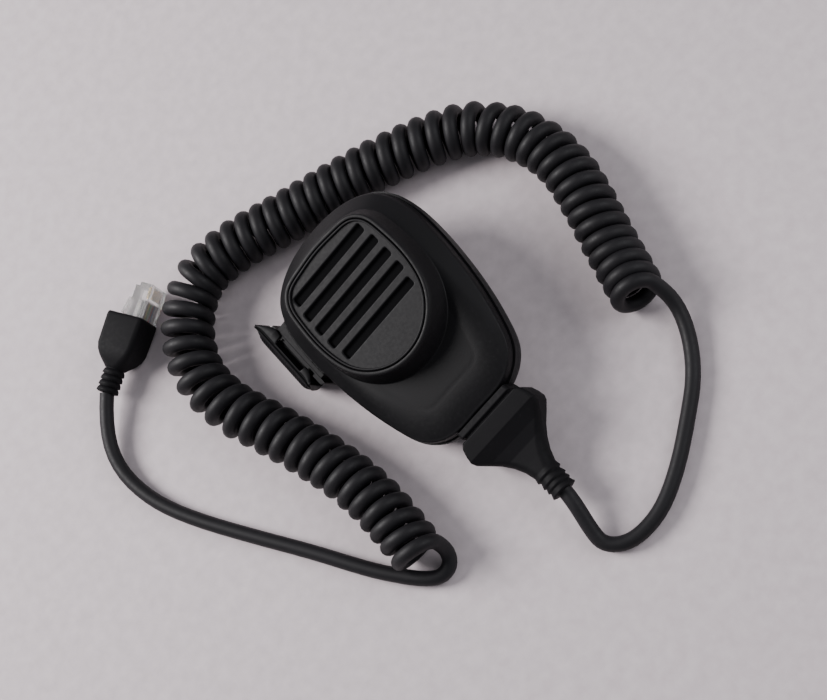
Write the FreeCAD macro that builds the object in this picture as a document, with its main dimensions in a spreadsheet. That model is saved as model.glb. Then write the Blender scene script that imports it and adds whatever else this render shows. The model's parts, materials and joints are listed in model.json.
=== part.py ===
import FreeCAD, Part
import math
import os

# Hand microphone of a mobile transceiver, lying on its back, in millimetres.
# The microphone's own frame: X to its right, Y towards its head, Z out of its face,
# with the flat of its back at Z = 0. REST lays it on the table, rolled on to its talk key.
# The plug's own frame: X out of the plug, Z towards its latch. PLUG_REST lays it on its side.

V = FreeCAD.Vector
Place = FreeCAD.Placement
Turn = FreeCAD.Rotation

SIZES = {
    # how the microphone lies
    "rest_roll": -16.0, "rest_pitch": 3.5, "rest_shift_x": 6.9, "rest_shift_y": 26.8, "rest_lift": 8.17,
    # housing
    "seam_level": 11.0, "seam_gap": 0.25, "wall": 1.8, "rear_round": 7.0, "front_inset": 0.6,
    "bevel_low": 14.5, "bevel_high": 19.6, "bevel_width": 6.6, "tail_slope": 3.5,
    "face_level": 27.0, "foot_level": 17.0, "foot_spread": 3.2, "edge_round": 1.0,
    "ring_width": 1.3, "ring_gap": 0.25, "panel_level": 26.5, "panel_thick": 1.3, "ledge": 1.6,
    "panel_border": 0.8, "border_height": 0.45,
    # speech slots
    "slot_count": 5.0, "slot_pitch": 6.4, "slot_width": 3.4, "slot_first": 17.2,
    # talk key
    "key_travel": 1.5, "key_inner": 36.3, "key_outer": 42.2, "key_top": 15.8, "key_base": 4.6,
    "key_low_end": -2.6, "key_high_end": 28.2, "key_stem_end": 24.05, "key_middle": 11.0,
    "bezel_outer": 34.5, "bezel_low_end": -5.0, "bezel_high_end": 23.4,
    "bezel_base": 5.2, "bezel_top": 15.4, "stem_half": 8.0, "stem_middle": 10.5, "stem_thick": 5.6,
    # screws
    "boss_radius": 3.0, "tail_post_top": 15.4, "head_post_top": 17.6, "small_post": 1.9, "small_pilot": 0.72,
    "screw_radius": 0.95, "screw_head": 2.1, "screw_head_thick": 1.5, "fit_gap": 0.05,
    # circuit board and what it carries
    "board_level": 13.0, "board_thick": 1.2, "board_half": 21.0, "board_head": 17.5, "board_tail": -28.0,
    "capsule_radius": 4.85, "capsule_height": 6.5, "capsule_y": 5.0, "holder_radius": 6.6,
    # hang-up knob
    "knob_y": 9.0, "knob_neck": 3.6, "knob_radius": 6.5, "knob_stand": 4.4, "knob_head": 2.8,
    # cord and its boot
    "cord_diameter": 5.2, "coil_diameter": 19.2, "cord_axis": 6.2, "neck_end": -88.6, "neck_radius": 4.2,
    "boot_rib": 0.6, "tail_opening_half": 9.5, "tail_opening_base": 3.6, "tail_opening_top": 13.6,
    # plug
    "plug_x": -90.2, "plug_y": 79.8, "plug_z": 7.1, "plug_heading": 31.0,
    "plug_boot_half": 7.0, "plug_boot_wide": 7.3, "plug_neck": 4.0, "plug_neck_length": 11.0,
    "plug_boot_front": 28.5, "plug_width": 11.7, "plug_thick": 6.6, "plug_tip": 41.4, "plug_length": 21.4,
}

# Half of the housing's outline at the seam, from the head's middle to the tail's middle.
HOUSING = [(0, 35.6), (11, 34.6), (20, 31.6), (26.6, 26.8), (30.3, 19.5), (32, 8),
           (31.5, -8), (29.7, -22), (26.4, -36), (21.8, -46), (14, -51.2), (0, -52)]
# Half of the outline of the raised ring round the grille.
RING = [(0, 25.6), (9.5, 24.9), (17.2, 23.0), (21.0, 18.6), (22.4, 12), (22.9, 3.5),
        (22.1, -6), (19.6, -13.8), (14.8, -20.0), (8, -24.3), (0, -25.8)]
SLOT_REACH = [17.4, 18.3, 18.5, 18.3, 17.1]
CASE_SCREWS = [(-20.0, 23.5), (20.0, 23.5), (-17.0, -35.0), (17.0, -35.0)]
BOARD_SCREWS = [(-12.0, 13.5), (12.0, 13.5), (-12.0, -24.0), (12.0, -24.0)]
CLAMP_SCREWS = [(-5.2, -40.0), (5.2, -40.0)]

# The boot's sections: distance along Y, half width, middle level, half height, corner radius.
BOOT = [(-52.6, 13.2, 8.6, 5.6, 3.0), (-55.0, 15.6, 8.5, 6.3, 3.4), (-61.5, 15.8, 8.0, 6.0, 3.6),
        (-65.6, 13.6, 7.6, 5.6, 3.8), (-69.0, 10.0, 7.1, 5.2, 3.8), (-72.5, 7.0, 6.7, 4.8, 3.8),
        (-76.5, 5.1, 6.4, 4.4, 3.8), (-81.0, 4.0, 6.2, 4.0, 3.7)]

# The routes of the cord on the table, point by point.
LEAD_MIC = [(5.19, -62.0, 8.71), (5.0, -66.0, 8.5), (2.4, -77.2, 4.2), (2.4, -82.2, 2.85),
            (7.0, -86.6, 2.85), (14.0, -88.2, 2.85), (24.6, -86.7, 2.85), (37.4, -80.1, 2.85),
            (49.6, -71.5, 2.85), (61.5, -62.5, 2.85), (70.3, -51.0, 3.3), (74.6, -40.4, 6.0),
            (73.7, -33.0, 10.6)]
COIL = [(67.0, -32.3), (72.7, -11.2), (78.4, 5.8), (82.1, 23.3), (79.1, 41.3), (68.9, 56.3),
        (53.4, 64.2), (35.9, 70.2), (17.4, 75.4), (-1.1, 80.0), (-20.1, 86.0), (-38.1, 87.2),
        (-52.6, 76.4), (-61.2, 59.8), (-60.2, 41.8), (-53.6, 24.6), (-48.0, 7.0), (-43.8, -11.0),
        (-42.6, -28.0), (-43.8, -45.0)]
LEAD_PLUG = [(-36.9, -43.6, 8.0), (-36.4, -48.6, 4.8), (-39.2, -52.6, 3.1), (-44.2, -53.1, 2.85),
             (-49.1, -49.2, 2.85), (-54.0, -43.2, 2.85), (-60.7, -33.9, 2.85), (-71.2, -15.8, 2.85),
             (-83.6, 3.4, 2.85), (-96.4, 24.4, 2.85), (-103.2, 40.4, 2.85), (-105.0, 57.4, 3.4),
             (-98.6, 71.6, 5.4), (-90.2, 79.8, 7.1)]

doc = FreeCAD.newDocument("hand_microphone")
sheet = doc.addObject("Spreadsheet::Sheet", "Sizes")
for row, (alias, value) in enumerate(SIZES.items(), start=1):
    sheet.set("A%d" % row, alias)
    sheet.set("B%d" % row, str(value))
    sheet.setAlias("B%d" % row, alias)
doc.recompute()


def size(alias):
    return float(sheet.get(alias))


REST = Place(V(size("rest_shift_x"), size("rest_shift_y"), size("rest_lift")),
             Turn(V(1, 0, 0), size("rest_pitch")) * Turn(V(0, 1, 0), size("rest_roll")))
PLUG_REST = Place(V(size("plug_x"), size("plug_y"), size("plug_z")),
                  Turn(V(0, 0, 1), size("plug_heading")) * Turn(V(1, 0, 0), -90))
WORLD = Place()
nodes = []


# ---------------------------------------------------------------- helpers

def keep(obj, label, place=REST):
    """Name a finished sub-part and lay it in the shared frame."""
    obj.Label = label
    obj.Placement = place * obj.Placement
    nodes.append(obj)
    return obj


def primitive(kind, name, base=(0, 0, 0), turn=None, **sizes):
    """A Part primitive whose properties are numbers or expressions on the sheet."""
    obj = doc.addObject("Part::" + kind, name)
    for prop, value in sizes.items():
        if isinstance(value, str):
            obj.setExpression(prop, value)
        else:
            setattr(obj, prop, value)
    obj.Placement = Place(V(*base), turn or Turn())
    return obj


def box(name, low, high):
    return primitive("Box", name, low, Length=high[0] - low[0], Width=high[1] - low[1],
                     Height=high[2] - low[2])


def rod(name, base, radius, height, axis=(0, 0, 1)):
    return primitive("Cylinder", name, base, Turn(V(0, 0, 1), V(*axis)), Radius=radius, Height=height)


def fuse(name, shapes):
    obj = doc.addObject("Part::MultiFuse", name)
    obj.Shapes = shapes
    return obj


def cut(name, base, tool):
    obj = doc.addObject("Part::Cut", name)
    obj.Base = base
    obj.Tool = tool
    return obj


def group(name, shapes):
    obj = doc.addObject("Part::Compound", name)
    obj.Links = shapes
    return obj


def mirrored(half):
    """A whole outline, anticlockwise from the tail's middle, from its right half."""
    right = [half[i] for i in range(len(half) - 1, -1, -1)]
    left = [(-x, y) for x, y in half[1:-1]]
    return right + left


def inset(points, distance):
    """Move every point of an anticlockwise outline inwards by the distance."""
    moved = []
    count = len(points)
    for i, (x, y) in enumerate(points):
        ahead = points[(i + 1) % count]
        behind = points[i - 1]
        dx, dy = ahead[0] - behind[0], ahead[1] - behind[1]
        reach = math.hypot(dx, dy)
        moved.append((x - dy / reach * distance, y + dx / reach * distance))
    return moved


def smooth_loop(points):
    curve = Part.BSplineCurve()
    curve.interpolate(Points=[V(x, y, 0) for x, y in points], PeriodicFlag=True)
    return curve


def new_body(name):
    return doc.addObject("PartDesign::Body", name)


def origin_plane(body, role):
    return [feature for feature in body.Origin.OriginFeatures if feature.Role == role][0]


def sketch_on(body, name, role="XY_Plane", offset=0.0, tilt=0.0, lift=None):
    sketch = body.newObject("Sketcher::SketchObject", name)
    sketch.AttachmentSupport = (origin_plane(body, role), [""])
    sketch.MapMode = "FlatFace"
    sketch.AttachmentOffset = Place(V(0, 0, offset), Turn(V(1, 0, 0), tilt))
    if lift:
        sketch.setExpression("AttachmentOffset.Base.z", lift)
    return sketch


def loft(body, name, sections, kind="AdditiveLoft"):
    """Loft through closed smooth outlines, each (points, level, slope)."""
    sketches = []
    for i, (points, level, slope) in enumerate(sections):
        sketch = sketch_on(body, "%s_section_%d" % (name, i), offset=level, tilt=slope)
        sketch.addGeometry(smooth_loop(points), False)
        sketches.append(sketch)
    feature = body.newObject("PartDesign::" + kind, name)
    feature.Profile = sketches[0]
    feature.Sections = sketches[1:]
    feature.Ruled = True
    for sketch in sketches:
        sketch.Visibility = False
    return feature


def polygon(sketch, corners):
    count = len(corners)
    for i, corner in enumerate(corners):
        start, end = V(*corner, 0), V(*corners[(i + 1) % count], 0)
        sketch.addGeometry(Part.LineSegment(start, end), False)


def pad(body, sketch, name, length, reverse=False, kind="PartDesign::Pad"):
    feature = body.newObject(kind, name)
    feature.Profile = sketch
    if isinstance(length, str):
        feature.setExpression("Length", length)
    else:
        feature.Length = length
    feature.Reversed = reverse
    return feature


def circles(sketch, centres, radius):
    for x, y in centres:
        sketch.addGeometry(Part.Circle(V(x, y, 0), V(0, 0, 1), radius), False)


HOUSING_LOOP = mirrored(HOUSING)
RING_LOOP = mirrored(RING)


# ---------------------------------------------------------------- housing

def window_cutters(name):
    """The openings that both housing shells share: the talk key's window and the cord's mouth."""
    key_window = box(name + "_key_window",
                     (-45, size("bezel_low_end") + 2.0, size("bezel_base") - 0.1),
                     (-23.5, size("bezel_high_end") - 2.0, size("bezel_top") + 0.1))
    mouth = box(name + "_mouth",
                (-size("tail_opening_half"), -60, size("tail_opening_base")),
                (size("tail_opening_half"), -46, size("tail_opening_top")))
    return [key_window, mouth]


def front_sections(extra, drop):
    """Sections of the front shell's skirt and bevel, moved in by extra and down by drop."""
    edge = size("front_inset") + extra
    slope = size("tail_slope")
    bevel = size("bevel_width")
    return [(inset(HOUSING_LOOP, edge), size("seam_level") + size("seam_gap") - (0.5 if drop else 0), 0),
            (inset(HOUSING_LOOP, edge + 0.3), size("bevel_low") - drop, 0.5),
            (inset(HOUSING_LOOP, edge + 0.9), size("bevel_low") + 1.2 - drop, 1.0),
            (inset(HOUSING_LOOP, edge + bevel - 1.2), size("bevel_high") - 0.7 - drop, slope),
            (inset(HOUSING_LOOP, edge + bevel), size("bevel_high") - drop, slope)]


def plateau_sections(extra, drop):
    """Sections of the raised face, from its foot to its top."""
    top = size("face_level") - drop
    edge = size("edge_round")
    return [(inset(RING_LOOP, extra - size("foot_spread")), size("foot_level") - drop, 0),
            (inset(RING_LOOP, extra - 0.5), top - edge, 0),
            (inset(RING_LOOP, extra - 0.15), top - 0.35 * edge, 0),
            (inset(RING_LOOP, extra + 0.35), top, 0)]


def front_posts():
    """Screw posts under the front shell's roof, each with its pilot hole."""
    posts = []
    for i, (x, y) in enumerate(CASE_SCREWS):
        roof = "tail_post_top" if y < 0 else "head_post_top"
        post = primitive("Cylinder", "case_post_%d" % i, (x, y, 0), Radius="Sizes.boss_radius",
                         Height="Sizes.%s - Sizes.seam_level - Sizes.seam_gap" % roof)
        post.setExpression("Placement.Base.z", "Sizes.seam_level + Sizes.seam_gap")
        posts.append(post)
    return posts


def pilot_holes():
    holes = []
    seam = size("seam_level")
    pilot = size("screw_radius") + 0.02
    for i, (x, y) in enumerate(CASE_SCREWS):
        holes.append(rod("case_pilot_%d" % i, (x, y, seam), pilot, 5.0))
    return holes


def front_case():
    shell = new_body("front_shell")
    loft(shell, "skirt", front_sections(0, 0))
    loft(shell, "plateau", plateau_sections(0, 0))
    wall = size("wall")
    loft(shell, "hollow", front_sections(wall, wall), "SubtractiveLoft")
    loft(shell, "face_hollow", plateau_sections(wall, wall + 1.2), "SubtractiveLoft")
    seat = inset(RING_LOOP, size("ring_width"))
    opening = inset(RING_LOOP, size("ring_width") + size("ledge"))
    panel_base = size("panel_level") - size("panel_thick")
    loft(shell, "panel_seat", [(seat, panel_base, 0), (seat, size("face_level") + 1, 0)], "SubtractiveLoft")
    loft(shell, "face_opening", [(opening, size("foot_level") + 4, 0),
                                 (opening, size("face_level") + 1, 0)], "SubtractiveLoft")
    whole = fuse("front_with_posts", [shell] + front_posts())
    tools = fuse("front_tools", window_cutters("front") + pilot_holes())
    return keep(cut("front_case_shape", whole, tools), "front_case")


def rear_sections(extra, floor):
    """Sections of the rear shell, with a rounded back edge worked out as a quarter of an ellipse."""
    sections = []
    steps = 6
    top = size("seam_level") - size("seam_gap")
    for i in range(steps + 1):
        angle = math.radians(90.0 * i / steps)
        step_in = extra + size("rear_round") * (1 - math.sin(angle)) * 0.8
        level = floor + (size("rear_round") - floor * 0.5) * (1 - math.cos(angle))
        sections.append((inset(HOUSING_LOOP, step_in), level, 0))
    sections.append((inset(HOUSING_LOOP, extra), top + (0.5 if floor else 0), 0))
    return sections


def rear_case():
    shell = new_body("rear_shell")
    loft(shell, "back", rear_sections(0, 0))
    wall = size("wall")
    loft(shell, "hollow", rear_sections(wall, wall), "SubtractiveLoft")
    posts = []
    holes = []
    head = size("screw_head")
    for i, (x, y) in enumerate(CASE_SCREWS):
        top = size("seam_level") - size("seam_gap")
        posts.append(rod("rear_post_%d" % i, (x, y, 0.9), size("boss_radius"), top - 0.9))
        holes.append(rod("rear_hole_%d" % i, (x, y, -1), size("screw_radius") + 0.15, 14))
        holes.append(rod("rear_head_hole_%d" % i, (x, y, -1), head + 0.15, 4.0))
    board_under = size("board_level") - size("fit_gap")
    for i, (x, y) in enumerate(BOARD_SCREWS):
        posts.append(rod("board_post_%d" % i, (x, y, 0.9), size("small_post"), board_under - 0.9))
        holes.append(rod("board_pilot_%d" % i, (x, y, board_under - 5), size("small_pilot"), 6))
    for i, (x, y) in enumerate(CLAMP_SCREWS):
        posts.append(rod("clamp_post_%d" % i, (x, y, 0.9), size("small_post"), size("cord_axis") - 0.9))
        holes.append(rod("clamp_pilot_%d" % i, (x, y, 2.4), size("small_pilot"), 5))
    holes.append(rod("knob_hole", (0, size("knob_y"), -1), 1.6, 4))
    holes.append(box("label_recess", (-12.2, -31.2, -1), (12.2, -16.8, 0.35)))
    whole = fuse("rear_with_posts", [shell] + posts)
    tools = fuse("rear_tools", window_cutters("rear") + holes)
    return keep(cut("rear_case_shape", whole, tools), "rear_case")


def seam_gasket():
    body = new_body("seam_band")
    middle = size("seam_level")
    half = 0.2
    outer = inset(HOUSING_LOOP, 0.95)
    inner = inset(HOUSING_LOOP, 2.0)
    loft(body, "band", [(outer, middle - half, 0), (outer, middle + half, 0)])
    loft(body, "band_inside", [(inner, middle - 1, 0), (inner, middle + 1, 0)], "SubtractiveLoft")
    tools = fuse("gasket_tools", window_cutters("gasket"))
    return keep(cut("gasket_shape", body, tools), "seam_gasket")


def slot_cutter(reach, y, half_width):
    """One speech slot as a box with square ends."""
    low = size("panel_level") - size("panel_thick") - 2
    return box("slot", (-reach, y - half_width, low), (reach, y + half_width, low + 8))


def grille_panel():
    body = new_body("panel")
    edge = inset(RING_LOOP, size("ring_width") + size("ring_gap"))
    inner = inset(RING_LOOP, size("ring_width") + size("ring_gap") + size("panel_border"))
    level = size("panel_level")
    base = level - size("panel_thick") + 0.02
    top = level + size("border_height")
    loft(body, "plate", [(edge, base, 0), (edge, level, 0), (inset(edge, 0.25), top, 0)])
    loft(body, "dish", [(inner, level - 0.15, 0), (inset(inner, -0.2), top + 1, 0)], "SubtractiveLoft")
    slots = []
    for i in range(int(size("slot_count"))):
        y = size("slot_first") - i * size("slot_pitch")
        slots.append(slot_cutter(SLOT_REACH[i], y, size("slot_width") / 2))
    return keep(cut("grille_shape", body, fuse("slots", slots)), "grille_panel")


def dust_cloth():
    body = new_body("cloth")
    outline = inset(RING_LOOP, size("ring_width") + size("ledge") + 0.3)
    top = size("panel_level") - size("panel_thick") - 0.03
    loft(body, "cloth_sheet", [(outline, top - 0.4, 0), (outline, top, 0)])
    return keep(body, "dust_cloth")


def rear_label():
    return keep(box("label_plate", (-12, -31, 0.0), (12, -17, 0.33)), "rear_label")


# ---------------------------------------------------------------- hang-up knob

def hang_up_knob():
    body = new_body("knob")
    profile = sketch_on(body, "knob_profile", "XZ_Plane")
    neck, radius = size("knob_neck"), size("knob_radius")
    stand, head = size("knob_stand"), size("knob_head")
    bottom = -stand - head
    outline = [(1.3, -0.05), (neck + 0.8, -0.05), (neck, -0.9), (neck, -stand), (radius - 0.5, -stand),
               (radius, -stand - 0.5), (radius, bottom + 0.7), (radius - 0.7, bottom), (2.8, bottom),
               (2.8, bottom + 1.4), (1.3, bottom + 1.4)]
    polygon(profile, outline)
    turned = body.newObject("PartDesign::Revolution", "knob_turned")
    turned.Profile = profile
    turned.ReferenceAxis = (profile, ["V_Axis"])
    turned.Angle = 360
    place = REST * Place(V(0, size("knob_y"), 0), Turn())
    return keep(body, "hang_up_knob", place)


def knob_fastening():
    """The knob's screw from outside, and the square plate inside that takes its thread."""
    y = size("knob_y")
    bottom = -size("knob_stand") - size("knob_head")
    head = rod("knob_screw_head", (0, y, bottom + 0.2), 2.6, 1.15)
    arms = []
    for i, (half_x, half_y) in enumerate([(1.4, 0.3), (0.3, 1.4)]):
        arms.append(box("cross_%d" % i, (-half_x, y - half_y, bottom), (half_x, y + half_y, bottom + 0.9)))
    recess = group("knob_screw_cross", arms)
    shank = rod("knob_screw_shank", (0, y, bottom + 1.3), 1.2, 8.4)
    screw = cut("knob_screw_shape", fuse("knob_screw_body", [head, shank]), recess)
    keep(screw, "knob_screw")
    plate = box("plate_body", (-5, y - 5, 1.85), (5, y + 5, 3.4))
    hole = rod("plate_hole", (0, y, 1), 1.25, 4)
    keep(cut("plate_shape", plate, hole), "hook_contact_plate")


# ---------------------------------------------------------------- talk key and switch

def ptt_key():
    body = new_body("key")
    profile = sketch_on(body, "key_profile", "XZ_Plane")
    inner, outer = -size("key_inner"), -size("key_outer")
    top, base = size("key_top"), size("key_base")
    # The bar's section: a ridge on its inner edge, a long slope for the thumb and a short wall.
    corners = [(inner, base), (inner, top), (inner - 0.8, top + 0.1), (inner - 1.6, top - 0.7),
               (outer + 0.9, top - 4.6), (outer, top - 6.4), (outer + 0.3, base + 1.2),
               (outer + 1.6, base)]
    polygon(profile, corners)
    profile.setExpression("AttachmentOffset.Base.z", "-Sizes.key_high_end")
    pad(body, profile, "key_bar", "Sizes.key_high_end - Sizes.key_low_end")
    ends = sketch_on(body, "key_ends", "XY_Plane", offset=-2)
    low, high = size("key_low_end"), size("key_high_end")
    # What is taken off the bar's two ends, so that it is rounded as it is seen from the face.
    polygon(ends, [(inner + 1, low - 1), (inner - 1.0, low - 1), (inner - 2.2, low + 0.9),
                   (outer + 1.3, low + 4.2), (outer - 1, low + 9), (outer - 2, low - 2)])
    polygon(ends, [(inner + 2, high + 1), (outer - 2, high + 2), (outer - 1, high - 4.5),
                   (outer + 0.6, high - 1.6), (outer + 2.2, high - 0.3), (inner - 1.2, high - 0.2),
                   (inner + 0.4, high - 1.6)])
    pad(body, ends, "key_ends_cut", 30, kind="PartDesign::Pocket", reverse=True)
    half, middle, thick = size("stem_half"), size("stem_middle"), size("stem_thick")
    stem = sketch_on(body, "stem_profile", "YZ_Plane")
    centre = size("key_middle")
    polygon(stem, [(centre - half, middle - thick / 2), (centre + half, middle - thick / 2),
                   (centre + half, middle + thick / 2), (centre - half, middle + thick / 2)])
    stem.setExpression("AttachmentOffset.Base.z", "-Sizes.key_inner - 1")
    pad(body, stem, "stem", "Sizes.key_inner + 1 - Sizes.key_stem_end")
    return keep(body, "ptt_key")


def ptt_bezel():
    """The frame that guides the key: a block through the housing's window, with a flange inside."""
    low, high = size("bezel_low_end"), size("bezel_high_end")
    base, top = size("bezel_base"), size("bezel_top")
    outer = -size("bezel_outer")
    nose = box("bezel_nose", (outer, low + 2.25, base + 0.15), (-24.6, high - 2.25, top - 0.15))
    lip_wall = box("bezel_lip", (outer, low, base), (-32.9, high, top))
    hole_half = size("stem_half") + 0.35
    middle, half = size("stem_middle"), size("stem_thick") / 2 + 0.35
    centre = size("key_middle")
    passage = box("bezel_passage", (-46, centre - hole_half, middle - half),
                  (-20, centre + hole_half, middle + half))
    dent = box("bezel_dent", (outer - 1, low + 5, top - 0.9), (outer + 1.1, high - 6, top + 1))
    solid = fuse("bezel_solid", [nose, lip_wall])
    rounded = doc.addObject("Part::Fillet", "bezel_rounded")
    rounded.Base = solid
    doc.recompute()
    upright = [i + 1 for i, edge in enumerate(solid.Shape.Edges)
               if abs(edge.BoundBox.XMax - outer) < 0.01 and edge.BoundBox.ZLength > 5]
    rounded.Edges = [(i, 1.2, 1.2) for i in upright]
    return keep(cut("bezel_shape", rounded, fuse("bezel_tools", [passage, dent])), "ptt_bezel")


def talk_switch():
    """The switch body under the board, with the bore that its plunger slides in."""
    top = size("board_level") - size("fit_gap")
    middle = size("stem_middle")
    body = box("switch_block", (-21.4, 6.6, middle - 2.6), (-14.6, 15.4, top))
    bore = box("switch_bore", (-23, 9.4, middle - 1.4), (-17.2, 12.6, middle + 1.4))
    keep(cut("switch_shape", body, bore), "ptt_switch")
    plunger = box("plunger_block", (-24.0, 9.55, middle - 1.25), (-19.4, 12.45, middle + 1.25))
    rounded = doc.addObject("Part::Fillet", "plunger_rounded")
    rounded.Base = plunger
    doc.recompute()
    nose = [i + 1 for i, edge in enumerate(plunger.Shape.Edges) if edge.BoundBox.XMax < -23.9]
    rounded.Edges = [(i, 0.4, 0.4) for i in nose]
    keep(rounded, "switch_plunger")


# ---------------------------------------------------------------- board and microphone capsule

def circuit_board():
    body = new_body("board")
    outline = sketch_on(body, "board_outline", lift="Sizes.board_level")
    half, head, tail = size("board_half"), size("board_head"), size("board_tail")
    clip = 5.0
    polygon(outline, [(-half + clip, tail), (half - clip, tail), (half, tail + clip), (half, head - clip),
                      (half - clip, head), (-half + clip, head), (-half, head - clip), (-half, tail + clip)])
    circles(outline, BOARD_SCREWS, 1.1)
    pad(body, outline, "board_plate", "Sizes.board_thick")
    return keep(body, "circuit_board")


def capsule_parts():
    top = size("board_level") + size("board_thick")
    y = size("capsule_y")
    radius, height = size("capsule_radius"), size("capsule_height")
    can = primitive("Cylinder", "capsule_can", (0, y, top + 1.0), Radius="Sizes.capsule_radius",
                    Height="Sizes.capsule_height")
    port = rod("capsule_port", (0, y, top + height + 0.4), 1.2, 2)
    keep(cut("capsule_shape", can, port), "microphone_capsule")
    ring = primitive("Cylinder", "holder_outside", (0, y, top + 0.05), Radius="Sizes.holder_radius",
                     Height=8.6)
    bore = rod("holder_bore", (0, y, top + 0.95), radius + 0.05, 12)
    keep(cut("holder_shape", ring, bore), "capsule_holder")


def board_parts():
    under = size("board_level") - size("fit_gap")
    chip = box("chip", (3, -8, under - 1.4), (13, 2, under))
    parts = [chip]
    for i in range(4):
        y = -14.0 + 4.6 * i
        parts.append(rod("capacitor_%d" % i, (-4.5, y, under - 3.6), 1.9, 3.6))
    for i in range(5):
        x = 4.0 + 2.4 * i
        parts.append(box("resistor_%d" % i, (x, -13.4, under - 0.7), (x + 1.3, -10.8, under)))
    keep(group("component_group", parts), "board_components")
    block = box("socket_block", (-5.2, -25.6, under - 4.2), (5.2, -19.6, under))
    mouth = box("socket_mouth", (-4.4, -27, under - 3.4), (4.4, -22.6, under - 0.9))
    keep(cut("socket_shape", block, mouth), "cord_connector")


# ---------------------------------------------------------------- fasteners

def screw(name, x, y, start, upwards, shank_radius, shank_length, head_radius, head_thick):
    """A pan screw: its head starts at the level, and its shank runs up or down from it."""
    sign = 1 if upwards else -1
    head_low = start if upwards else start - head_thick
    head = rod(name + "_head", (x, y, head_low), head_radius, head_thick)
    shank_low = start + head_thick - 0.1 if upwards else start - head_thick - shank_length + 0.1
    shank = rod(name + "_shank", (x, y, shank_low), shank_radius, shank_length)
    depth = 0.7
    slot_level = start - 0.1 if upwards else start - depth
    slots = []
    for i, (half_x, half_y) in enumerate([(1.1, 0.22), (0.22, 1.1)]):
        slots.append(box("%s_slot_%d" % (name, i), (x - half_x, y - half_y, slot_level),
                         (x + half_x, y + half_y, slot_level + depth + 0.1)))
    return cut(name, fuse(name + "_solid", [head, shank]), group(name + "_slots", slots))


def fasteners():
    radius, head, thick = size("screw_radius"), size("screw_head"), size("screw_head_thick")
    case = [screw("case_screw_%d" % i, x, y, 1.45, True, radius, 11.6, head, thick)
            for i, (x, y) in enumerate(CASE_SCREWS)]
    keep(group("case_screw_group", case), "case_screws")
    above = size("board_level") + size("board_thick") + 0.05
    board = [screw("board_screw_%d" % i, x, y, above + 1.0, False, 0.7, 5.4, 1.6, 1.0)
             for i, (x, y) in enumerate(BOARD_SCREWS)]
    keep(group("board_screw_group", board), "board_screws")
    clamp_top = size("cord_axis") + 4.35
    clamp = [screw("clamp_screw_%d" % i, x, y, clamp_top + 0.95, False, 0.7, 6.8, 1.5, 0.9)
             for i, (x, y) in enumerate(CLAMP_SCREWS)]
    keep(group("clamp_screw_group", clamp), "clamp_screws")


# ---------------------------------------------------------------- cord

def corner_arc(before, corner, after):
    """The tangent arc at a corner of the route: its two ends, its middle and its radius."""
    back, on = before - corner, after - corner
    turn = math.pi - back.getAngle(on)
    trim = 0.45 * min(back.Length, on.Length)
    radius = trim / math.tan(turn / 2)
    first = corner + V(back).normalize() * trim
    last = corner + V(on).normalize() * trim
    inward = (V(back).normalize() + V(on).normalize()).normalize()
    middle = corner + inward * (radius / math.cos(turn / 2) - radius)
    return first, middle, last, radius


def route_wire(points):
    """Straight runs joined by tangent arcs through the route's points."""
    route = [V(*point) for point in points]
    edges = []
    radii = []
    at = route[0]
    for before, corner, after in zip(route, route[1:], route[2:]):
        first, middle, last, radius = corner_arc(before, corner, after)
        edges.append(Part.LineSegment(at, first).toShape())
        edges.append(Part.Arc(first, middle, last).toShape())
        radii.append(radius)
        at = last
    edges.append(Part.LineSegment(at, route[-1]).toShape())
    return Part.Wire(edges), radii


def tube(label, points, diameter):
    wire, radii = route_wire(points)
    start = V(*points[0])
    heading = V(*points[1]) - start
    section = Part.Wire(Part.Circle(start, heading, diameter / 2).toShape())
    shape = wire.makePipeShell([section], True, True)
    expected = math.pi * diameter ** 2 / 4 * wire.Length
    print("%s: length %.1f mm, volume %.1f of %.1f mm3, radii %s" % (
        label, wire.Length, shape.Volume, expected, " ".join("%.1f" % r for r in radii)))
    obj = doc.addObject("Part::Feature", label + "_tube")
    obj.Shape = shape
    return keep(obj, label, WORLD)


def cords():
    tube("lead_mic", LEAD_MIC, size("cord_diameter"))
    level = size("coil_diameter") / 2 + 0.1
    tube("curly_coil", [(x, y, level) for x, y in COIL], size("coil_diameter"))
    tube("lead_plug", LEAD_PLUG, size("cord_diameter"))


def rounded_section(sketch, half_width, middle, half_height, corner):
    """A rectangle with round corners: four sides and four quarter circles."""
    x, y = half_width - corner, half_height - corner
    centres = [(x, middle + y), (-x, middle + y), (-x, middle - y), (x, middle - y)]
    for i, (cx, cy) in enumerate(centres):
        start = i * math.pi / 2
        arc = Part.ArcOfCircle(Part.Circle(V(cx, cy, 0), V(0, 0, 1), corner), start, start + math.pi / 2)
        sketch.addGeometry(arc, False)
        end = start + math.pi / 2
        leave = V(cx + corner * math.cos(end), cy + corner * math.sin(end), 0)
        next_x, next_y = centres[(i + 1) % 4]
        meet = V(next_x + corner * math.cos(end), next_y + corner * math.sin(end), 0)
        sketch.addGeometry(Part.LineSegment(leave, meet), False)


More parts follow.
